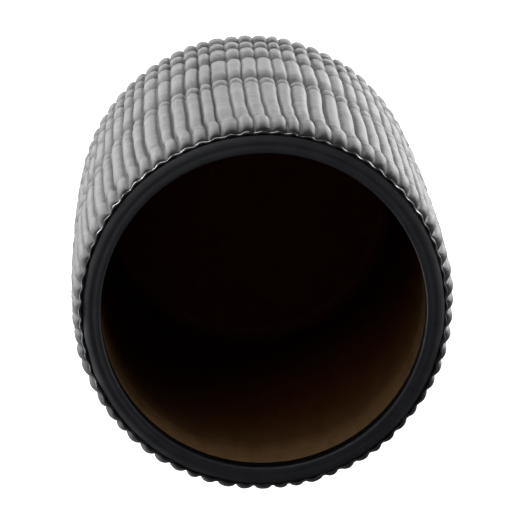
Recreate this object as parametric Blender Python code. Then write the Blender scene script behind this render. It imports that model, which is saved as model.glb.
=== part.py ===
"""Stoneware vase with a pleated outer skin, as the clay parts that a potter joins, and the glaze inside it.

Run with: blender --background --python part.py
Metres, +Z up. The origin is the centre of the foot, on the surface that the vase stands on.
A depth is measured down from the top of the lip.
"""

import math

import bmesh
import bpy

MM = 0.001

# Driving dimensions
HEIGHT = 183 * MM  # from the surface to the top of the lip
GAP = 0.3 * MM  # the slip joint between neighbouring parts

# The outside of the smooth inner wall: a shallow barrel, fullest at the belly
BELLY_DEPTH = 75 * MM
CORE_TOP_RADIUS = 68.3 * MM
CORE_BELLY_RADIUS = 69.7 * MM
CORE_BASE_RADIUS = 67.6 * MM
WALL_THICKNESS = 5.5 * MM

# Rim coil
LIP_INNER_RADIUS = 61.9 * MM  # the mouth
LIP_ROUNDING = 0.9 * MM
RIM_OUTER_RADIUS = 68.4 * MM
RIM_SLOPE = 1.8 * MM  # how far the rim falls from the lip to the skin
RIM_CURL = 3  # the fall starts flat at the lip and steepens outward with this power of the distance
RIM_HEIGHT = 6.5 * MM  # the rim coil stands on the wall from here down

# Floor and foot
SLAB_THICKNESS = 6.0 * MM
FOOT_HEIGHT = 3.0 * MM
FOOT_OUTER_RADIUS = 63.0 * MM
FOOT_INNER_RADIUS = 53.0 * MM
FOOT_ROUNDING = 1.0 * MM

# Glaze lining
GLAZE_THICKNESS = 0.8 * MM
FLOOR_CORNER = 6.0 * MM  # the inside rounding between floor and wall

# Pleated skin
CREST_TOP_RADIUS = 72.2 * MM  # over the crests of the ribs
CREST_BELLY_RADIUS = 74.3 * MM
CREST_BASE_RADIUS = 72.6 * MM
RIBS = 70
RIB_CROWDING = 0.065  # at the front the ribs are closer together than on average by this share
RIB_WANDER = 0.10  # a crease is out of place by at most this share of a rib
RIB_DEPTH = 2.0 * MM  # crease to crest, where a band is fullest
FLATTENING = 0.6  # a rib loses this much depth for each unit that the skin dips

# Heights of the stack, from the surface up
SLAB_BOTTOM = FOOT_HEIGHT + GAP
WALL_BOTTOM = SLAB_BOTTOM + SLAB_THICKNESS + GAP
RIM_BOTTOM = HEIGHT - RIM_HEIGHT
SKIN_BOTTOM_DEPTH = HEIGHT - SLAB_BOTTOM

# The level lines that part the skin into bands: depth, and how far the skin dips there.
CINCHES = (
    (RIM_SLOPE, 2.6 * MM),  # the hem's edge, beside the rim
    (19 * MM, 0.4 * MM),  # a soft pinch under the hem
    (75 * MM, 0.8 * MM),  # the top of a narrow bead
    (85 * MM, 3.0 * MM),
    (127 * MM, 2.8 * MM),
    (150 * MM, 2.4 * MM),
    (164.5 * MM, 2.1 * MM),
    (SKIN_BOTTOM_DEPTH, 2.6 * MM),
)
LONG_BAND = 30 * MM  # a band longer than this has more rings

# Fineness
TURN_STEPS = 64
WALL_LEVELS = 6


def material(name, colour, roughness):
    """A Principled material of one colour."""
    made = bpy.data.materials.new(name)
    made.use_nodes = True
    shader = made.node_tree.nodes["Principled BSDF"]
    shader.inputs["Base Color"].default_value = (*colour, 1)
    shader.inputs["Roughness"].default_value = roughness
    shader.inputs["Metallic"].default_value = 0
    return made


def arc(centre, radii, start, end, steps):
    """Points of a part of an ellipse in the radius-height plane, from start to end in degrees."""
    points = []
    for step in range(steps + 1):
        angle = math.radians(start + (end - start) * step / steps)
        points.append((centre[0] + radii[0] * math.cos(angle), centre[1] + radii[1] * math.sin(angle)))
    return points


def spread(low, high, count):
    """Evenly spaced values from low to high."""
    return [low + (high - low) * step / (count - 1) for step in range(count)]


def barrel(height, top, belly, base):
    """Radius at a height of a barrel that is fullest at the belly and narrower at its two ends."""
    above = height - (HEIGHT - BELLY_DEPTH)
    if above > 0:
        return belly - (belly - top) * (above / BELLY_DEPTH) ** 2
    return belly - (belly - base) * (above / (HEIGHT - BELLY_DEPTH)) ** 2


def core_radius(height):
    """Radius of the smooth face that the skin is laid on."""
    return barrel(height, CORE_TOP_RADIUS, CORE_BELLY_RADIUS, CORE_BASE_RADIUS)


def finish(name, bm, look):
    """Turns a bmesh into a named object with outward faces, shaded smooth across gentle edges."""
    bmesh.ops.recalc_face_normals(bm, faces=bm.faces)
    mesh = bpy.data.meshes.new(name)
    bm.to_mesh(mesh)
    bm.free()
    mesh.shade_smooth()
    mesh.set_sharp_from_angle(angle=math.radians(35))
    mesh.materials.append(look)
    made = bpy.data.objects.new(name, mesh)
    bpy.context.scene.collection.objects.link(made)
    return made


def turned(name, outline, look):
    """A solid of revolution about Z from a closed outline of (radius, height) points."""
    bm = bmesh.new()
    ring = [bm.verts.new((radius, 0, height)) for radius, height in outline]
    edges = [bm.edges.new((a, b)) for a, b in zip(ring, ring[1:] + ring[:1])]
    bmesh.ops.spin(
        bm,
        geom=ring + edges,
        cent=(0, 0, 0),
        axis=(0, 0, 1),
        angle=math.tau,
        steps=TURN_STEPS,
        use_merge=True,
    )
    bmesh.ops.remove_doubles(bm, verts=bm.verts, dist=0.01 * MM)
    return finish(name, bm, look)


def rim_coil(look):
    """The smooth ring at the mouth: a rounded lip, and a band that slopes down to the skin."""
    crest = LIP_INNER_RADIUS + LIP_ROUNDING
    width = RIM_OUTER_RADIUS - crest
    slope = [(crest + width * out, HEIGHT - RIM_SLOPE * out**RIM_CURL) for out in spread(1, 0, 7)]
    lip = arc((crest, HEIGHT - LIP_ROUNDING), (LIP_ROUNDING, LIP_ROUNDING), 90, 180, 4)
    foot = [(LIP_INNER_RADIUS, RIM_BOTTOM), (RIM_OUTER_RADIUS, RIM_BOTTOM)]
    return turned("rim_coil", slope + lip[1:] + foot, look)


def clay_wall(look):
    """The smooth wall that stands on the slab and carries the rim coil."""
    levels = spread(WALL_BOTTOM, RIM_BOTTOM - GAP, WALL_LEVELS)
    outside = [(core_radius(height), height) for height in levels]
    inside = [(core_radius(height) - WALL_THICKNESS, height) for height in reversed(levels)]
    return turned("clay_wall", outside + inside, look)


def floor_slab(look):
    """The round slab that the wall stands on."""
    radius = core_radius(SLAB_BOTTOM)
    top = SLAB_BOTTOM + SLAB_THICKNESS
    outline = [(0, SLAB_BOTTOM), (radius, SLAB_BOTTOM), (radius, top), (0, top)]
    return turned("floor_slab", outline, look)


def foot_ring(look):
    """The low ring under the slab that the vase stands on."""
    rounding = (FOOT_ROUNDING, FOOT_ROUNDING)
    outer = arc((FOOT_OUTER_RADIUS - FOOT_ROUNDING, FOOT_ROUNDING), rounding, -90, 0, 3)
    inner = arc((FOOT_INNER_RADIUS + FOOT_ROUNDING, FOOT_ROUNDING), rounding, 180, 270, 3)
    top = [(FOOT_OUTER_RADIUS, FOOT_HEIGHT), (FOOT_INNER_RADIUS, FOOT_HEIGHT)]
    return turned("foot_ring", outer + top + inner, look)


def glaze_lining(look):
    """The glassy coat on the floor and the inside of the wall: a thin cup, open at the mouth."""
    floor_top = WALL_BOTTOM + GLAZE_THICKNESS
    levels = spread(floor_top + FLOOR_CORNER, RIM_BOTTOM - GAP, WALL_LEVELS - 1)
    back = WALL_THICKNESS + GAP
    face = back + GLAZE_THICKNESS
    outside = [(0, WALL_BOTTOM), (core_radius(WALL_BOTTOM) - back, WALL_BOTTOM)]
    outside += [(core_radius(height) - back, height) for height in levels]
    inside = [(core_radius(height) - face, height) for height in reversed(levels)]
    corner = (inside[-1][0] - FLOOR_CORNER, floor_top + FLOOR_CORNER)
    inside += arc(corner, (FLOOR_CORNER, FLOOR_CORNER), 0, -90, 4)[1:]
    return turned("glaze_lining", outside + inside + [(0, floor_top)], look)


def ribs_before(angle):
    """How many ribs lie between +X and this angle. The skin is gathered tighter at the front, -Y."""
    return RIBS / math.tau * (angle + RIB_CROWDING * (math.cos(angle) - 1))


def angle_of(rib):
    """The angle at which ribs_before gives this number, found by a few corrections."""
    angle = rib * math.tau / RIBS
    for _ in range(8):
        angle -= (ribs_before(angle) - rib) * math.tau / RIBS
    return angle


def crease_place(crease):
    """Where a crease runs, counted in ribs: up to RIB_WANDER of a rib from its even place."""
    number = crease % RIBS
    return crease + RIB_WANDER * (math.sin(2.4 * number) + math.sin(5.1 * number + 1)) / 2


def dip_at(depth):
    """How far the skin dips at this depth: as CINCHES says at each line, and nothing mid-band."""
    for (start, start_dip), (end, end_dip) in zip(CINCHES, CINCHES[1:]):
        if depth <= end:
            along = max((depth - start) / (end - start), 0)
            swell = abs(math.sin(math.pi * along)) ** 0.6
            return (start_dip + (end_dip - start_dip) * along) * (1 - swell)
    return CINCHES[-1][1]


def skin_radii(depth):
    """Radii of the skin's outer face at this depth: in a crease, and on a crest."""
    dip = dip_at(depth)
    crest = barrel(HEIGHT - depth, CREST_TOP_RADIUS, CREST_BELLY_RADIUS, CREST_BASE_RADIUS) - dip
    return crest - (RIB_DEPTH - FLATTENING * dip), crest


def skin_depths():
    """Depths of the skin's rings: the cinches, and the points between them that follow each swell."""
    depths = []
    for (start, _), (end, _) in zip(CINCHES, CINCHES[1:]):
        pieces = 4 if end - start > LONG_BAND else 3
        depths += spread(start, end, pieces + 1)[:-1]
    return depths + [SKIN_BOTTOM_DEPTH]


def pleated_skin(look):
    """The outer sleeve of upright ribs, cinched by level lines. Each rib has two points, crease and crest."""
    bm = bmesh.new()
    angles = []
    for crease in range(RIBS):
        left, right = crease_place(crease), crease_place(crease + 1)
        angles += [angle_of(left), angle_of((left + right) / 2)]

    def ring(crease_radius, crest_radius, height):
        radii = (crease_radius, crest_radius) * RIBS
        return [bm.verts.new((r * math.cos(a), r * math.sin(a), height)) for r, a in zip(radii, angles)]

    loops = [ring(*skin_radii(depth), HEIGHT - depth) for depth in skin_depths()]
    for height in spread(SLAB_BOTTOM, HEIGHT - RIM_SLOPE, WALL_LEVELS):
        inner = core_radius(height) + GAP
        loops.append(ring(inner, inner, height))
    for upper, lower in zip(loops, loops[1:] + loops[:1]):
        for i in range(2 * RIBS):
            j = (i + 1) % (2 * RIBS)
            bm.faces.new((upper[i], upper[j], lower[j], lower[i]))
    return finish("pleated_skin", bm, look)


def main():
    for old in list(bpy.data.objects):
        bpy.data.objects.remove(old)
    smooth_clay = material("smooth_stoneware", (0.03, 0.03, 0.033), 0.55)
    pleated_clay = material("pleated_stoneware", (0.045, 0.045, 0.047), 0.8)
    bare_clay = material("bare_stoneware", (0.16, 0.12, 0.09), 0.9)
    glaze = material("brown_glaze", (0.04, 0.02, 0.008), 0.12)
    rim_coil(smooth_clay)
    clay_wall(bare_clay)
    floor_slab(bare_clay)
    foot_ring(bare_clay)
    glaze_lining(glaze)
    pleated_skin(pleated_clay)


main()
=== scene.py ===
"""Looks of the stoneware vase: fine clay surfaces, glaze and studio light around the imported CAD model.

Lengths are in metres, in the CAD's frame: +Z up, the centre of the foot at the origin. A depth is measured
down from the top of the lip.
"""

import math

import bpy
import numpy as np
from mathutils import Matrix, Vector


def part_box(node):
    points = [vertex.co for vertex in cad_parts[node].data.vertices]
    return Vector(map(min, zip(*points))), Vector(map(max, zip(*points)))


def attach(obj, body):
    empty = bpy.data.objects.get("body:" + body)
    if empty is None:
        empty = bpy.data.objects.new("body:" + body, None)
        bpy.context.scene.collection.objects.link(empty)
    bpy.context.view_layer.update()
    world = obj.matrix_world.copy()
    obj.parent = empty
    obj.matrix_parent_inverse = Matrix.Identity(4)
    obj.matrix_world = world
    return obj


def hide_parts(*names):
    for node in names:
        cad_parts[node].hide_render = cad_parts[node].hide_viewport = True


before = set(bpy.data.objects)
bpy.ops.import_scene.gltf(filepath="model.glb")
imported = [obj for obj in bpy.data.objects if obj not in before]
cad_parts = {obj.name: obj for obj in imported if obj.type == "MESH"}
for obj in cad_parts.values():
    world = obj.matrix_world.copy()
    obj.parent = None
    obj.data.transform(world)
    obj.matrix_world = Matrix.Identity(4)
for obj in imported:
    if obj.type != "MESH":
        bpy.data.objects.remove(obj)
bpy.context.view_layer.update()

MM = 0.001

# ---------------------------------------------------------------- sizes, from the frame
rim_low, rim_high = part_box("rim_coil")
skin_low, skin_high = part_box("pleated_skin")
_, glaze_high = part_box("glaze_lining")

TOP = rim_high.z
RIM_OUTER = rim_high.x
RIM_BOTTOM = rim_low.z
SKIN_TOP_DEPTH = TOP - skin_high.z
SKIN_BOTTOM_DEPTH = TOP - skin_low.z
CREST = (skin_high.x - skin_low.x) / 2  # over the crests, at the belly

# ---------------------------------------------------------------- the rim
LIP_INNER = 61.9 * MM
LIP_ROUNDING = 0.9 * MM
LIP_CREST = LIP_INNER + LIP_ROUNDING
RIM_EDGE = RIM_OUTER + 0.3 * MM  # the rim runs on under the bead
RIM_DROP = 0.72 * SKIN_TOP_DEPTH
CHANNEL_DEPTH = 0.25 * MM  # a shallow channel round the rim, just outside the lip
CHANNEL_PLACE = 0.36  # its middle and half width, as shares of the way from the lip to the edge
CHANNEL_HALF_WIDTH = 0.16
RIM_WOBBLE = 0.12 * MM
RIM_COLUMNS = 360
PAINTED_SHADE_DEPTH = 0.9 * MM  # painted shade: the rim's clay is painted darker from this far below its top, and black one blend length lower
PAINTED_SHADE_BLEND = 0.6 * MM

# ---------------------------------------------------------------- the pleated skin
RIBS = 70
RIB_CROWDING = 0.065  # at the front the ribs are closer together than on average by this share
RIB_WANDER = 0.10  # a crease is out of its even place by at most this share of a rib
BELLY_DEPTH = 75 * MM
CREST_TOP = CREST - 1.3 * MM
CREST_BASE = CREST - 1.6 * MM
CREST_CLEARANCE = 0.35 * MM  # room between the barrel and the crests for their unevenness
OVAL = 0.4 * MM  # the mouth end's radius varies by this much either way, and is largest at OVAL_TURN
OVAL_TURN = math.radians(40)
OVAL_DEPTH = 60 * MM
SKIN_BACK_TOP = 68.6 * MM  # the skin's inner face
SKIN_BACK_BELLY = 70.0 * MM
SKIN_BACK_BASE = 67.9 * MM
LEAST_THICKNESS = 0.2 * MM
LEAST_SINK = 0.02 * MM
COLUMNS_PER_RIB = 12
ROW_STEP = 0.85 * MM
BACK_ROWS = 4

# Each level line: its depth, how far the skin dips there, and over what length it rises again,
# above the line and below it.
CINCHES = (
    (19 * MM, 0.35 * MM, 6 * MM, 9 * MM),
    (75 * MM, 0.9 * MM, 4 * MM, 4 * MM),
    (85 * MM, 4.2 * MM, 2.5 * MM, 14 * MM),
    (127 * MM, 3.6 * MM, 5 * MM, 11 * MM),
    (150 * MM, 3.0 * MM, 4 * MM, 7 * MM),
    (164.5 * MM, 2.6 * MM, 4 * MM, 6 * MM),
    (SKIN_BOTTOM_DEPTH, 3.0 * MM, 5 * MM, 1 * MM),
)
UPPER_JOIN, LOWER_JOIN = CINCHES[2][0], CINCHES[4][0]  # the three sleeves of the skin meet here
RIB_END_ROUNDING = 1.6 * MM  # a rib ends in a rounded tip above each level line
FAINT_LINE = 0.5 * MM  # but not above a line that dips less than this
LINE_WAVE = 1.3 * MM  # how far a level line strays up and down on its way round
LINE_JITTER = 0.8 * MM  # and how far each rib's own end strays from it
LONG_SLOPE_SHARE = 0.75  # below a line the skin comes back slowly: the share and power of that slope
LONG_SLOPE_POWER = 1.6

# Sideways sway of the creases, in ribs.
DRIFT = 0.09
WRIGGLE = 0.03
HEM_LEAN = 0.20  # the ribs lean over by this much near the hem, above the depth HEM_LEAN_END
HEM_LEAN_END = 24 * MM
HEM_LEAN_LENGTH = 10 * MM

# The section of a rib.
RIB_DEPTH = 2.3 * MM  # at the hem; BASE_FLATTENING is the share of it that is lost by the foot
BASE_FLATTENING = 0.55
RIB_UNEVENNESS = 0.3
RIB_DIP_LOSS = 0.16  # share of the ribs' depth that is lost for each millimetre of dip
RIB_HEM_SHARE = 0.85  # share of it at the very hem, growing to all of it at the depth RIB_HEM_DEPTH
RIB_HEM_DEPTH = 25 * MM
ROUND_SHARE = 0.6  # a rib's section is this much ellipse, and parabola for the rest
ELLIPSE_FULLNESS = 0.9
NOTCH_DEPTH = 0.9 * MM  # the sharp bottom of a crease
NOTCH_HALF_WIDTH = 0.6 * MM
NOTCH_DIP_LOSS = 0.25
NOTCH_HEM_DEPTH = 8 * MM  # the notch is half as deep above here, and full below the blend
NOTCH_HEM_BLEND = 10 * MM
NOTCH_BASE_LOSS = 0.4
DIP_PAINTED_SHADE = 0.36  # painted shade in the dips at the level lines: how much darker the clay is painted for each millimetre of dip

# Small folds across the creases, and unevenness of the skin.
PUCKER_PITCH = 3.1 * MM
PUCKER_HEIGHT = 0.35 * MM
PUCKER_SHARPNESS = 1.5
PUCKER_SPREAD = 1.5 * NOTCH_HALF_WIDTH
HEM_PUCKER = 0.16 * MM  # five times as strong round the depth HEM_PUCKER_DEPTH as far from it
HEM_PUCKER_DEPTH = 17 * MM
HEM_PUCKER_REACH = 8 * MM
SWELL = 0.25 * MM
ROUGHNESS = 0.05 * MM

# The hem and the bead.
HEM_ROUNDING = 11.0 * MM
HEM_STEPS = 10
HEM_SHADE_PALENESS = 0.35  # painted shade at the inner end of the hem: how pale the clay is painted there, where 1 is that of a crest
HEM_CREASE_DEPTH = 1.2 * MM
HEM_FROM_BEAD = 0.2 * MM  # the hem starts this far out from the bead's middle, and HEM_BELOW_BEAD under it
HEM_BELOW_BEAD = 0.5 * MM
HEM_TUCK_IN = 0.4 * MM  # its first row is tucked in and down by these
HEM_TUCK_DOWN = 1.2 * MM
BEAD_RADIUS = 0.5 * MM
BEAD_OUT = 0.7  # in millimetres, how far the bead lies outside the rim at a crease
BEAD_WAVE = 0.6  # and how much farther at the middle of a rib
BEAD_UNEVENNESS = 0.15
BEAD_SIDES = 8


def barrel(depth, top, belly, base):
    """Radius at each depth of a barrel that is fullest at the belly."""
    above = BELLY_DEPTH - depth
    up = belly - (belly - top) * (above / BELLY_DEPTH) ** 2
    down = belly - (belly - base) * (above / (TOP - BELLY_DEPTH)) ** 2
    return np.where(above > 0, up, down)


def ribs_before(angle):
    """How many ribs lie between +X and this angle. The skin is gathered tighter at the front, -Y."""
    return RIBS / math.tau * (angle + RIB_CROWDING * (np.cos(angle) - 1))


def angle_of(rib):
    """The angle at which ribs_before gives this number, found by a few corrections."""
    angle = rib * math.tau / RIBS
    for _ in range(8):
        angle = angle - (ribs_before(angle) - rib) * math.tau / RIBS
    return angle


def crease_place(crease):
    """Where a crease runs, counted in ribs: up to RIB_WANDER of a rib from its even place."""
    number = crease % RIBS
    return crease + RIB_WANDER * (np.sin(2.4 * number) + np.sin(5.1 * number + 1)) / 2


def smooth(x):
    """0 below 0, 1 above 1, and a smooth step between."""
    x = np.clip(x, 0, 1)
    return x * x * (3 - 2 * x)


def lattice(around, along, cells_around, cell_along, seed):
    """Smooth noise from -1 to 1. around goes from 0 to 1 round the vase and joins up; along is in metres."""
    rng = np.random.default_rng(seed)
    rows = int(0.4 / cell_along) + 4
    values = rng.uniform(-1, 1, (cells_around, rows))
    x = (around % 1) * cells_around
    y = np.clip(along / cell_along + 2, 0, rows - 2.001)
    i, j = np.floor(x).astype(int), np.floor(y).astype(int)
    fx, fy = smooth(x - i), smooth(y - j)
    i0, i1 = i % cells_around, (i + 1) % cells_around
    low = values[i0, j] * (1 - fx) + values[i1, j] * fx
    high = values[i0, j + 1] * (1 - fx) + values[i1, j + 1] * fx
    return low * (1 - fy) + high * fy


def per_rib(number, seed):
    """A random value from -1 to 1 for each rib number."""
    return np.random.default_rng(seed).uniform(-1, 1, RIBS)[np.asarray(number, int) % RIBS]


def sway(rib, depth):
    """How far a crease strays sideways on its way down, counted in ribs."""
    around = rib / RIBS
    drift = DRIFT * lattice(around, depth, 18, 24 * MM, 11)
    wriggle = WRIGGLE * lattice(around, depth, 70, 7 * MM, 12)
    hem = -HEM_LEAN * smooth((HEM_LEAN_END - depth) / HEM_LEAN_LENGTH)
    return drift + wriggle + hem


def crest_dip(number, depth, side):
    """How far the level lines pull a rib in from the barrel. side is 0 on its crest and 1 in its creases."""
    dip = np.zeros_like(depth)
    for order, (line, size, above, below) in enumerate(CINCHES):
        shift = LINE_JITTER * per_rib(number, 20 + order)
        wave = lattice((number + 0.5) / RIBS, np.zeros_like(depth), 21, 10 * MM, 60 + order)
        shift = shift + LINE_WAVE * wave
        from_line = depth - (line + shift)
        if line == SKIN_BOTTOM_DEPTH:
            from_line = depth - line
        tip = RIB_END_ROUNDING * (size > FAINT_LINE)
        from_line = np.where(from_line < 0, np.minimum(from_line + tip * side**2, 0), from_line)
        reach = np.where(from_line < 0, above, below)
        near = np.clip(1 - np.abs(from_line) / reach, 0, 1)
        round_end = 1 - np.sqrt(1 - near**2)
        long_slope = near**LONG_SLOPE_POWER
        slow_end = (1 - LONG_SLOPE_SHARE) * round_end + LONG_SLOPE_SHARE * long_slope
        shape = np.where(from_line < 0, round_end, slow_end)
        dip = np.maximum(dip, size * shape)
    return dip


def skin_surface(rib, depth):
    """Radius, angle and painted-shade paleness of the skin's outer face.

    rib counts ribs round the vase, and its whole part names the rib. Paleness is 1 on the crests and 0 in the
    creases and deep dips, where the clay is painted darker as painted shade.
    """
    number = np.floor(rib)
    across = rib - number
    left = crease_place(number) + sway(number, depth)
    right = crease_place(number + 1) + sway(number + 1, depth)
    angle = angle_of(left + (right - left) * across)
    limit = barrel(depth, CREST_TOP, CREST, CREST_BASE)
    limit = limit + OVAL * np.cos(2 * (angle - OVAL_TURN)) * smooth(1 - depth / OVAL_DEPTH)
    width = (right - left) * math.tau * limit / RIBS
    side = 1 - 2 * np.minimum(across, 1 - across)
    dip = crest_dip(number, depth, side)
    from_crease = np.minimum(across, 1 - across) * width

    depth_of_rib = RIB_DEPTH * (1 + RIB_UNEVENNESS * per_rib(number, 31)) * (1 - RIB_DIP_LOSS * dip / MM)
    near_hem = RIB_HEM_SHARE + (1 - RIB_HEM_SHARE) * smooth(depth / RIB_HEM_DEPTH)
    depth_of_rib *= (1 - BASE_FLATTENING * depth / SKIN_BOTTOM_DEPTH) * near_hem
    ellipse = 1 - np.sqrt(np.clip(1 - ELLIPSE_FULLNESS * side**2, 0, 1))
    profile = ROUND_SHARE * ellipse + (1 - ROUND_SHARE) * side**2
    notch = NOTCH_DEPTH * np.exp(-((from_crease / NOTCH_HALF_WIDTH) ** 2))
    below_hem = smooth((depth - NOTCH_HEM_DEPTH) / NOTCH_HEM_BLEND)
    notch *= (1 - NOTCH_DIP_LOSS * dip / MM) * (0.5 + 0.5 * below_hem)
    notch *= 1 - NOTCH_BASE_LOSS * depth / SKIN_BOTTOM_DEPTH

    crease_number = np.where(across < 0.5, number, number + 1) % RIBS
    turn = depth / PUCKER_PITCH + 0.5 * per_rib(crease_number, 32)
    turn = turn + 0.35 * lattice(crease_number / RIBS, depth, RIBS, 9 * MM, 33)
    fold = np.clip(np.cos(math.tau * turn), 0, 1) ** PUCKER_SHARPNESS
    fold *= PUCKER_HEIGHT * np.exp(-((from_crease / PUCKER_SPREAD) ** 2))
    fold *= 0.65 + 0.35 * lattice(crease_number / RIBS, depth, RIBS, 6 * MM, 34)

    around = angle / math.tau
    pucker_zone = np.exp(-(((depth - HEM_PUCKER_DEPTH) / HEM_PUCKER_REACH) ** 2)) + 0.25
    pucker = HEM_PUCKER * lattice(around, depth, 3 * RIBS, 1.9 * MM, 35) * pucker_zone
    swell = SWELL * lattice(around, depth, 40, 14 * MM, 36)
    rough = ROUGHNESS * lattice(around, depth, 9 * RIBS, 0.9 * MM, 37)

    sink = CREST_CLEARANCE + dip + depth_of_rib * profile + notch - fold * (side > 0.4)
    back = barrel(depth, SKIN_BACK_TOP, SKIN_BACK_BELLY, SKIN_BACK_BASE)
    radius = limit - np.clip(sink - pucker - swell - rough, LEAST_SINK, limit - back - LEAST_THICKNESS)
    # Paleness: painted shade darkens the clay in the creases, the notches and the dips at the level lines.
    return radius, angle, 1 - np.clip(profile + notch / NOTCH_DEPTH + DIP_PAINTED_SHADE * dip / MM, 0, 1)


def mesh_object(name, points, faces, look, attributes=None):
    """A smooth-shaded mesh object from arrays of points and faces of four corners."""
    mesh = bpy.data.meshes.new(name)
    mesh.vertices.add(len(points))
    mesh.vertices.foreach_set("co", points.astype(np.float32).ravel())
    mesh.loops.add(faces.size)
    mesh.loops.foreach_set("vertex_index", faces.astype(np.int32).ravel())
    mesh.polygons.add(len(faces))
    mesh.polygons.foreach_set("loop_start", np.arange(0, faces.size, 4, dtype=np.int32))
    mesh.update(calc_edges=True)
    mesh.polygons.foreach_set("use_smooth", np.ones(len(faces), bool))
    for key, values in (attributes or {}).items():
        mesh.attributes.new(key, "FLOAT", "POINT").data.foreach_set("value", values.astype(np.float32))
    mesh.materials.append(look)
    mesh.validate()
    made = bpy.data.objects.new(name, mesh)
    bpy.context.scene.collection.objects.link(made)
    return made


def ring_faces(rows, columns):
    """Faces of a grid of rows that closes round its columns and, last row to first, round its section."""
    row, column = np.meshgrid(np.arange(rows), np.arange(columns), indexing="ij")
    next_row, next_column = (row + 1) % rows, (column + 1) % columns
    corners = (row, column), (next_row, column), (next_row, next_column), (row, next_column)
    return np.stack([r * columns + c for r, c in corners], -1).reshape(-1, 4)


def skin_piece(name, start, end, look, hem=False):
    """One closed sleeve of the skin, between two depths. The hem's sleeve has its rolled edge on top."""
    rib = np.arange(RIBS * COLUMNS_PER_RIB) / COLUMNS_PER_RIB
    first = start + (HEM_ROUNDING if hem else 0)
    count = int(round((end - first) / ROW_STEP)) + 1
    rows = []
    for depth in np.linspace(first, end, count):
        at = np.full_like(rib, depth)
        radius, angle, crest = skin_surface(rib, at)
        rows.append((radius, angle, TOP - at, crest))
    if hem:
        rows = hem_rows(rib, rows[0], start) + rows
    back_rows = []
    low_z, high_z = rows[-1][2], rows[0][2]
    for share in np.linspace(0, 1, BACK_ROWS):
        z = low_z * (1 - share) + high_z * share
        back = barrel(TOP - z, SKIN_BACK_TOP, SKIN_BACK_BELLY, SKIN_BACK_BASE)
        ends = rows[-1] if share < 0.5 else rows[0]
        back_rows.append((back, ends[1], z, np.zeros_like(rib)))
    rows = rows + back_rows
    radius, angle, z, crest = (np.array([row[part] for row in rows]) for part in range(4))
    points = np.stack([radius * np.cos(angle), radius * np.sin(angle), z], -1).reshape(-1, 3)
    faces = ring_faces(len(rows), len(rib))
    # The crest attribute carries the painted shade of the creases and dips.
    made = mesh_object(name, points, faces, look, {"crest": crest.ravel()})
    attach(made, "root")
    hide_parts("pleated_skin")


def bead_line(rib, start):
    """Radius and depth of the thin wavy roll where the skin meets the rim."""
    wave = np.sin(math.pi * (rib % 1)) ** 2
    uneven = lattice(rib / RIBS, np.zeros_like(rib), 50, 10 * MM, 41)
    radius = RIM_OUTER + (BEAD_OUT + BEAD_WAVE * wave + BEAD_UNEVENNESS * uneven) * MM
    return radius, start - (0.15 + 0.3 * uneven) * MM


def hem_rows(rib, below, start):
    """The rounded ends of the ribs at the hem, from the bead beside the rim out to the crests."""
    crest_radius, angle, crest_z, crest = below
    bead_radius, bead_depth = bead_line(rib, start)
    inner_radius = bead_radius + HEM_FROM_BEAD
    inner_depth = bead_depth + HEM_BELOW_BEAD
    tucked_z = TOP - inner_depth - HEM_TUCK_DOWN
    # The hem's inner end is painted in shade, which fades out towards the crests.
    rows = [(inner_radius - HEM_TUCK_IN, angle, tucked_z, np.full_like(rib, HEM_SHADE_PALENESS))]
    for step in range(HEM_STEPS):
        turn = math.radians(90 * step / HEM_STEPS)
        radius = inner_radius + (crest_radius - inner_radius) * math.sin(turn)
        z = (TOP - inner_depth) + (crest_z - (TOP - inner_depth)) * (1 - math.cos(turn))
        z = z - HEM_CREASE_DEPTH * math.sin(2 * turn) * np.abs(2 * (rib % 1) - 1) ** 3
        rows.append((radius, angle, z, HEM_SHADE_PALENESS + (crest - HEM_SHADE_PALENESS) * step / HEM_STEPS))
    return rows


def hem_bead(look):
    """The bead itself, a thin roll of clay that follows bead_line round the rim."""
    rib = np.arange(RIBS * COLUMNS_PER_RIB) / COLUMNS_PER_RIB
    angle = angle_of(rib + sway(rib, np.full_like(rib, SKIN_TOP_DEPTH)))
    radius, depth = bead_line(rib, SKIN_TOP_DEPTH)
    thickness = BEAD_RADIUS * (1 + 0.3 * lattice(rib / RIBS, np.zeros_like(rib), 90, 10 * MM, 42))
    turn = np.linspace(0, math.tau, BEAD_SIDES + 1)[:-1, None]
    radius = radius + thickness * np.cos(turn)
    z = TOP - depth + thickness * np.sin(turn)
    points = np.stack([radius * np.cos(angle), radius * np.sin(angle), z], -1).reshape(-1, 3)
    made = mesh_object("hem_bead", points, ring_faces(BEAD_SIDES, len(rib))[:, ::-1], look)
    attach(made, "root")
    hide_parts("pleated_skin")


# ---------------------------------------------------------------- turned pieces
def arc(centre, radii, start, end, steps):
    """Points of a part of an ellipse in the radius-height plane, from start to end in degrees."""
    turns = np.radians(np.linspace(start, end, steps + 1))
    return [(centre[0] + radii[0] * math.cos(t), centre[1] + radii[1] * math.sin(t)) for t in turns]


def turned(name, outline, look, node, wobble):
    """A turned piece from a closed outline of (radius, height), uneven by up to about the wobble."""
    outline = np.array(outline)
    angle = np.arange(RIM_COLUMNS) * math.tau / RIM_COLUMNS
    radius = np.repeat(outline[:, :1], RIM_COLUMNS, 1)
    z = np.repeat(outline[:, 1:], RIM_COLUMNS, 1)
    around = np.repeat(angle[None] / math.tau, len(outline), 0)
    radius = radius + wobble * lattice(around, z, 9, 30 * MM, 50)
    z = z - wobble * (1 + lattice(around, z, 7, 30 * MM, 51)) / 2
    points = np.stack([radius * np.cos(angle), radius * np.sin(angle), z], -1).reshape(-1, 3)
    made = mesh_object(name, points, ring_faces(len(outline), RIM_COLUMNS)[:, ::-1], look)
    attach(made, "root")
    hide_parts(node)


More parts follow.
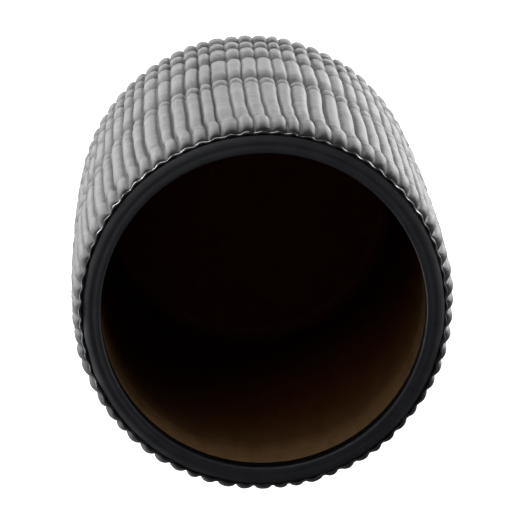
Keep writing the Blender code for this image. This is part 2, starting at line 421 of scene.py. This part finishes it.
# ---------------------------------------------------------------- materials
# Painted shade: the creases' clay is painted darker than the crests'.
CREASE_SHADE_CLAY, CREST_CLAY = (0.015, 0.015, 0.016), (0.056, 0.056, 0.057)
RIM_CLAY, PALE_RIM_CLAY = (0.0145, 0.015, 0.0175), (0.022, 0.0225, 0.026)
BARE_CLAY, PALE_BARE_CLAY = (0.13, 0.095, 0.07), (0.20, 0.15, 0.115)
NOISE_ROUGHNESS = 0.55
BUMP_OF_THREADS = 0.25 * MM
PAINTED_GLAZE_SHADE_HEIGHT = 90 * MM  # the glaze is painted darker with depth, as painted shade inside the mouth, over this height below its top


def new_material(name):
    """A new material, its nodes, its links and its shader."""
    made = bpy.data.materials.new(name)
    made.use_nodes = True
    return made, made.node_tree.nodes, made.node_tree.links, made.node_tree.nodes["Principled BSDF"]


def noise(nodes, links, coords, scale, detail=3.0):
    """Noise from 0 to 1 at this scale, in cells to the metre."""
    made = nodes.new("ShaderNodeTexNoise")
    made.inputs["Scale"].default_value = scale
    made.inputs["Detail"].default_value = detail
    made.inputs["Roughness"].default_value = NOISE_ROUGHNESS
    links.new(coords, made.inputs["Vector"])
    return made.outputs["Fac"]


def ramp(nodes, links, value, low, high, stops=(0.3, 0.7)):
    """A colour that goes from low to high as the value goes from one stop to the other."""
    made = nodes.new("ShaderNodeValToRGB")
    made.color_ramp.elements[0].position, made.color_ramp.elements[1].position = stops
    made.color_ramp.elements[0].color = (*low, 1)
    made.color_ramp.elements[1].color = (*high, 1)
    links.new(value, made.inputs["Fac"])
    return made.outputs["Color"]


def multiply(nodes, links, a, b):
    """The product of two colours."""
    made = nodes.new("ShaderNodeMix")
    made.data_type = "RGBA"
    made.blend_type = "MULTIPLY"
    made.inputs["Factor"].default_value = 1.0
    links.new(a, made.inputs["A"])
    links.new(b, made.inputs["B"])
    return made.outputs["Result"]


def bump(nodes, links, height, distance, strength, under=None):
    """A normal bent by a height, on top of the normal under it if there is one."""
    made = nodes.new("ShaderNodeBump")
    made.inputs["Distance"].default_value = distance
    made.inputs["Strength"].default_value = strength
    links.new(height, made.inputs["Height"])
    if under is not None:
        links.new(under, made.inputs["Normal"])
    return made.outputs["Normal"]


def pleated_look():
    """Matt charcoal stoneware with the grain of the cloth that it was pressed in, and painted shade in its
    creases and dips.
    """
    made, nodes, links, shader = new_material("pleated_stoneware")
    coords = nodes.new("ShaderNodeTexCoord").outputs["Object"]
    crest = nodes.new("ShaderNodeAttribute")
    crest.attribute_name = "crest"
    # Painted shade: the clay is painted darker in the creases and dips, following the crest attribute.
    painted_crease_shade = ramp(nodes, links, crest.outputs["Fac"], CREASE_SHADE_CLAY, CREST_CLAY, (0.0, 0.8))
    cloud = ramp(nodes, links, noise(nodes, links, coords, 90), (0.78, 0.78, 0.78), (1.15, 1.14, 1.12))
    colour = multiply(nodes, links, painted_crease_shade, cloud)
    grain = ramp(nodes, links, noise(nodes, links, coords, 1700, 2), (0.80, 0.80, 0.80), (1.2, 1.2, 1.2))
    links.new(multiply(nodes, links, colour, grain), shader.inputs["Base Color"])
    shader.inputs["Roughness"].default_value = 0.72
    shader.inputs["Specular IOR Level"].default_value = 0.08
    stretched = nodes.new("ShaderNodeMapping")
    stretched.inputs["Scale"].default_value = (1, 1, 5)
    links.new(coords, stretched.inputs["Vector"])
    threads = noise(nodes, links, stretched.outputs["Vector"], 380, 3)
    normal = bump(nodes, links, threads, BUMP_OF_THREADS, 0.8)
    normal = bump(nodes, links, noise(nodes, links, coords, 2300, 2), 0.08 * MM, 0.8, normal)
    links.new(normal, shader.inputs["Normal"])
    return made


def rim_look(name, roughness, painted_shade_below):
    """Satin black stoneware, wiped smooth, with a faint sandy grain.

    Below a set depth under the top, the clay is painted darker down to black, as painted shade: inside the
    mouth, and on the rim's outer slope beside the bead.
    """
    made, nodes, links, shader = new_material(name)
    coords = nodes.new("ShaderNodeTexCoord").outputs["Object"]
    base = ramp(nodes, links, noise(nodes, links, coords, 120), RIM_CLAY, PALE_RIM_CLAY)
    speck = ramp(nodes, links, noise(nodes, links, coords, 2600, 1), (0.75, 0.75, 0.75), (1.3, 1.3, 1.3))
    clay = multiply(nodes, links, base, speck)
    # Painted shade: the rim's clay lower than the shade depth is painted darker, down to near black.
    if painted_shade_below:
        height = nodes.new("ShaderNodeSeparateXYZ")
        links.new(coords, height.inputs["Vector"])
        inner_edge = nodes.new("ShaderNodeMapRange")
        inner_edge.inputs["From Min"].default_value = TOP - PAINTED_SHADE_DEPTH - PAINTED_SHADE_BLEND
        inner_edge.inputs["From Max"].default_value = TOP - PAINTED_SHADE_DEPTH
        links.new(height.outputs["Z"], inner_edge.inputs["Value"])
        # The near-black painted shade colour.
        black = ramp(nodes, links, inner_edge.outputs["Result"], (0.06, 0.055, 0.05), (1, 1, 1), (0.0, 1.0))
        clay = multiply(nodes, links, clay, black)
    links.new(clay, shader.inputs["Base Color"])
    shine = nodes.new("ShaderNodeMapRange")
    shine.inputs["To Min"].default_value = roughness - 0.07
    shine.inputs["To Max"].default_value = roughness + 0.07
    links.new(noise(nodes, links, coords, 500), shine.inputs["Value"])
    links.new(shine.outputs["Result"], shader.inputs["Roughness"])
    shader.inputs["Specular IOR Level"].default_value = 0.24
    normal = bump(nodes, links, noise(nodes, links, coords, 1500, 2), 0.05 * MM, 0.6)
    normal = bump(nodes, links, noise(nodes, links, coords, 160, 2), 0.2 * MM, 0.4, normal)
    links.new(normal, shader.inputs["Normal"])
    return made


def glaze_look():
    """Glossy brown glaze, painted darker and redder deeper inside the mouth as painted shade, and palest at
    the lip.
    """
    made, nodes, links, shader = new_material("brown_glaze")
    coords = nodes.new("ShaderNodeTexCoord").outputs["Object"]
    height = nodes.new("ShaderNodeSeparateXYZ")
    links.new(coords, height.inputs["Vector"])
    share = nodes.new("ShaderNodeMapRange")
    share.inputs["From Min"].default_value = glaze_high.z - PAINTED_GLAZE_SHADE_HEIGHT
    share.inputs["From Max"].default_value = glaze_high.z
    links.new(height.outputs["Z"], share.inputs["Value"])
    # Painted shade: the glaze's colour darkens and reddens with depth inside the mouth.
    painted_depth_shade = nodes.new("ShaderNodeValToRGB")
    painted_depth_shade.color_ramp.elements[0].color = (0.042, 0.008, 0.002, 1)
    painted_depth_shade.color_ramp.elements[1].color = (0.220, 0.130, 0.062, 1)
    painted_depth_shade.color_ramp.interpolation = "B_SPLINE"
    middle = painted_depth_shade.color_ramp.elements.new(0.68)
    middle.color = (0.055, 0.025, 0.007, 1)
    links.new(share.outputs["Result"], painted_depth_shade.inputs["Fac"])
    tall = nodes.new("ShaderNodeMapping")
    tall.inputs["Scale"].default_value = (1, 1, 0.25)
    links.new(coords, tall.inputs["Vector"])
    streaked = noise(nodes, links, tall.outputs["Vector"], 160, 4)
    streaks = ramp(nodes, links, streaked, (0.8, 0.78, 0.75), (1.1, 1.1, 1.1))
    links.new(multiply(nodes, links, painted_depth_shade.outputs["Color"], streaks), shader.inputs["Base Color"])
    dulled = nodes.new("ShaderNodeMapRange")
    dulled.inputs["To Min"].default_value = 0.70
    dulled.inputs["To Max"].default_value = 0.16
    links.new(share.outputs["Result"], dulled.inputs["Value"])
    links.new(dulled.outputs["Result"], shader.inputs["Roughness"])
    shader.inputs["Specular Tint"].default_value = (1.0, 0.35, 0.18, 1)
    normal = bump(nodes, links, noise(nodes, links, coords, 110, 2), 0.3 * MM, 0.35)
    links.new(normal, shader.inputs["Normal"])
    return made


def bare_look():
    """Unglazed clay with dark specks."""
    made, nodes, links, shader = new_material("bare_stoneware")
    coords = nodes.new("ShaderNodeTexCoord").outputs["Object"]
    base = ramp(nodes, links, noise(nodes, links, coords, 60), BARE_CLAY, PALE_BARE_CLAY)
    specks = noise(nodes, links, coords, 900, 1)
    speck = ramp(nodes, links, specks, (0.35, 0.33, 0.32), (1, 1, 1), (0.36, 0.42))
    links.new(multiply(nodes, links, base, speck), shader.inputs["Base Color"])
    shader.inputs["Roughness"].default_value = 0.9
    normal = bump(nodes, links, noise(nodes, links, coords, 1200, 3), 0.12 * MM, 0.8)
    links.new(normal, shader.inputs["Normal"])
    return made


# ---------------------------------------------------------------- pieces
pleated, glaze, bare = pleated_look(), glaze_look(), bare_look()
smooth_clay = rim_look("smooth_stoneware", 0.52, painted_shade_below=True)
bead_clay = rim_look("bead_stoneware", 0.38, painted_shade_below=False)

skin_piece("skin_tall_band", SKIN_TOP_DEPTH, UPPER_JOIN, pleated, hem=True)
skin_piece("skin_middle_bands", UPPER_JOIN, LOWER_JOIN, pleated)
skin_piece("skin_lower_bands", LOWER_JOIN, SKIN_BOTTOM_DEPTH, pleated)
hem_bead(bead_clay)


def rim_height(x):
    """Height of the rim's upper face, x being 0 on the lip and 1 at the outer edge."""
    channel = CHANNEL_DEPTH * math.exp(-(((x - CHANNEL_PLACE) / CHANNEL_HALF_WIDTH) ** 2))
    return TOP - RIM_DROP * x**3 - channel


rim_outline = (
    [(LIP_CREST + (RIM_EDGE - LIP_CREST) * x, rim_height(x)) for x in np.linspace(1, 0, 41)]
    + arc((LIP_CREST, TOP - LIP_ROUNDING), (LIP_ROUNDING, LIP_ROUNDING), 90, 180, 12)[1:]
    + [(LIP_INNER, RIM_BOTTOM + 2 * MM), (LIP_INNER, RIM_BOTTOM)]
    + [(RIM_OUTER, RIM_BOTTOM), (RIM_OUTER, TOP - 3 * MM)]
)
turned("smooth_rim", rim_outline, smooth_clay, "rim_coil", wobble=RIM_WOBBLE)

for node, look in (("clay_wall", bare), ("floor_slab", bare), ("foot_ring", bare), ("glaze_lining", glaze)):
    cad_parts[node].data.materials.clear()
    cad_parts[node].data.materials.append(look)

# ---------------------------------------------------------------- camera
TILT = math.radians(16.0)
ROLL = math.radians(7.9)
DISTANCE = 1.274  # in metres, chosen for a natural taper
LENS = 230.8  # in millimetres, for a sensor 36 mm wide
AIM_UP = 19.1 * MM  # the camera looks this far above the middle of the mouth, and AIM_LEFT to its left
AIM_LEFT = 0.6 * MM
mouth = Vector((0, 0, TOP))
out = Vector((0, -math.sin(TILT), math.cos(TILT)))
forward = -out
down = Vector((0, 0, -1))
up = (down - down.dot(forward) * forward).normalized()
right = forward.cross(up)
cam_up = up * math.cos(ROLL) + right * math.sin(ROLL)
cam_right = right * math.cos(ROLL) - up * math.sin(ROLL)
place = mouth + out * DISTANCE
target = mouth + cam_up * AIM_UP - cam_right * AIM_LEFT
gaze = (target - place).normalized()
cam_right = (cam_right - cam_right.dot(gaze) * gaze).normalized()
cam_up = cam_right.cross(gaze)
camera = bpy.data.objects.new("camera", bpy.data.cameras.new("camera"))
camera.data.sensor_width = 36
camera.data.lens = LENS
camera.data.clip_start = 0.05
camera.matrix_world = Matrix((
    (cam_right.x, cam_up.x, -gaze.x, place.x),
    (cam_right.y, cam_up.y, -gaze.y, place.y),
    (cam_right.z, cam_up.z, -gaze.z, place.z),
    (0, 0, 0, 1),
))
bpy.context.scene.collection.objects.link(camera)
bpy.context.scene.camera = camera

# ---------------------------------------------------------------- stage and light
BODY = (0, 0, 0.09)  # the middle of the vase
UPPER_BODY = (0, 0, 0.15)
MOUTH = (0, 0, TOP)

# Each light: its name, place and aim, its width and height, and its watts. The first three stand below the
# vase, which is behind it for the camera, and light its outside. The others fill in. +X is on the left.
LIGHTS = (
    ("left", (0.87, -0.61, -1.35), BODY, 0.6, 0.6, 74),
    ("right", (-0.98, -0.36, -1.45), BODY, 0.7, 0.7, 108),
    ("far", (0.08, -1.05, -1.35), BODY, 0.8, 0.7, 54),
    ("left_side", (1.20, 0.25, 0.05), BODY, 0.4, 0.5, 38),
    ("right_side", (-1.20, 0.30, 0.15), BODY, 0.4, 0.5, 8),
    ("back", (0.10, 1.10, -0.50), BODY, 0.6, 0.4, 3),
    ("front", (0.25, -0.70, 0.62), UPPER_BODY, 0.4, 0.6, 3.6),
    ("lip_left", (-0.80, 0.10, 0.45), MOUTH, 0.2, 0.2, 1.1),
    ("above", (0.10, -0.20, 1.30), MOUTH, 0.3, 0.3, 0.3),
)
WORLD_STRENGTH = 0.08


def area_light(name, place, aim, width, height, watts):
    """A white rectangle of light that the camera doesn't see."""
    data = bpy.data.lights.new(name, "AREA")
    data.shape = "RECTANGLE"
    data.size, data.size_y = width, height
    data.energy = watts
    lamp = bpy.data.objects.new(name, data)
    lamp.location = place
    lamp.rotation_mode = "QUATERNION"
    lamp.rotation_quaternion = (Vector(aim) - Vector(place)).to_track_quat("-Z", "Y")
    lamp.visible_camera = False
    bpy.context.scene.collection.objects.link(lamp)


for light in LIGHTS:
    area_light(*light)

world = bpy.data.worlds.new("studio")
world.use_nodes = True
world.node_tree.nodes["Background"].inputs["Color"].default_value = (0.9, 0.93, 1.0, 1)
world.node_tree.nodes["Background"].inputs["Strength"].default_value = WORLD_STRENGTH
bpy.context.scene.world = world
bpy.context.scene.view_settings.view_transform = "Standard"

STAGE_SIDES = 64
STAGE_DROP = 0.0005  # the paper lies this far under the foot
STAGE_FLAT = 3  # it is flat to this radius, then bends up within STAGE_BEND into a wall STAGE_HEIGHT high
STAGE_BEND = 1
STAGE_HEIGHT = 5


def paper_stage():
    """A round white paper floor that bends up into a wall all round."""
    bend = arc((0, 0), (STAGE_BEND, STAGE_BEND + STAGE_DROP), -90, 0, 12)
    outline = [(0, -STAGE_DROP)] + [(STAGE_FLAT + x, STAGE_BEND + z) for x, z in bend]
    outline += [(STAGE_FLAT + STAGE_BEND, STAGE_HEIGHT)]
    vertices = []
    for radius, height in outline:
        for side in range(STAGE_SIDES):
            turn = math.tau * side / STAGE_SIDES
            vertices.append((radius * math.cos(turn), radius * math.sin(turn), height))
    faces = []
    for row in range(len(outline) - 1):
        here, above = row * STAGE_SIDES, (row + 1) * STAGE_SIDES
        for side in range(STAGE_SIDES):
            after = (side + 1) % STAGE_SIDES
            faces.append((here + side, here + after, above + after, above + side))
    mesh = bpy.data.meshes.new("stage")
    mesh.from_pydata(vertices, [], faces)
    mesh.shade_smooth()
    paper, _, _, shader = new_material("paper")
    shader.inputs["Base Color"].default_value = (0.8, 0.8, 0.8, 1)
    shader.inputs["Emission Color"].default_value = (1, 1, 1, 1)
    shader.inputs["Emission Strength"].default_value = 1.0
    mesh.materials.append(paper)
    made = bpy.data.objects.new("stage", mesh)
    bpy.context.scene.collection.objects.link(made)
    return made


# The paper lets the light of the lamps below it through.
stage = paper_stage()
stage.visible_diffuse = False
stage.visible_glossy = False
stage.visible_shadow = False
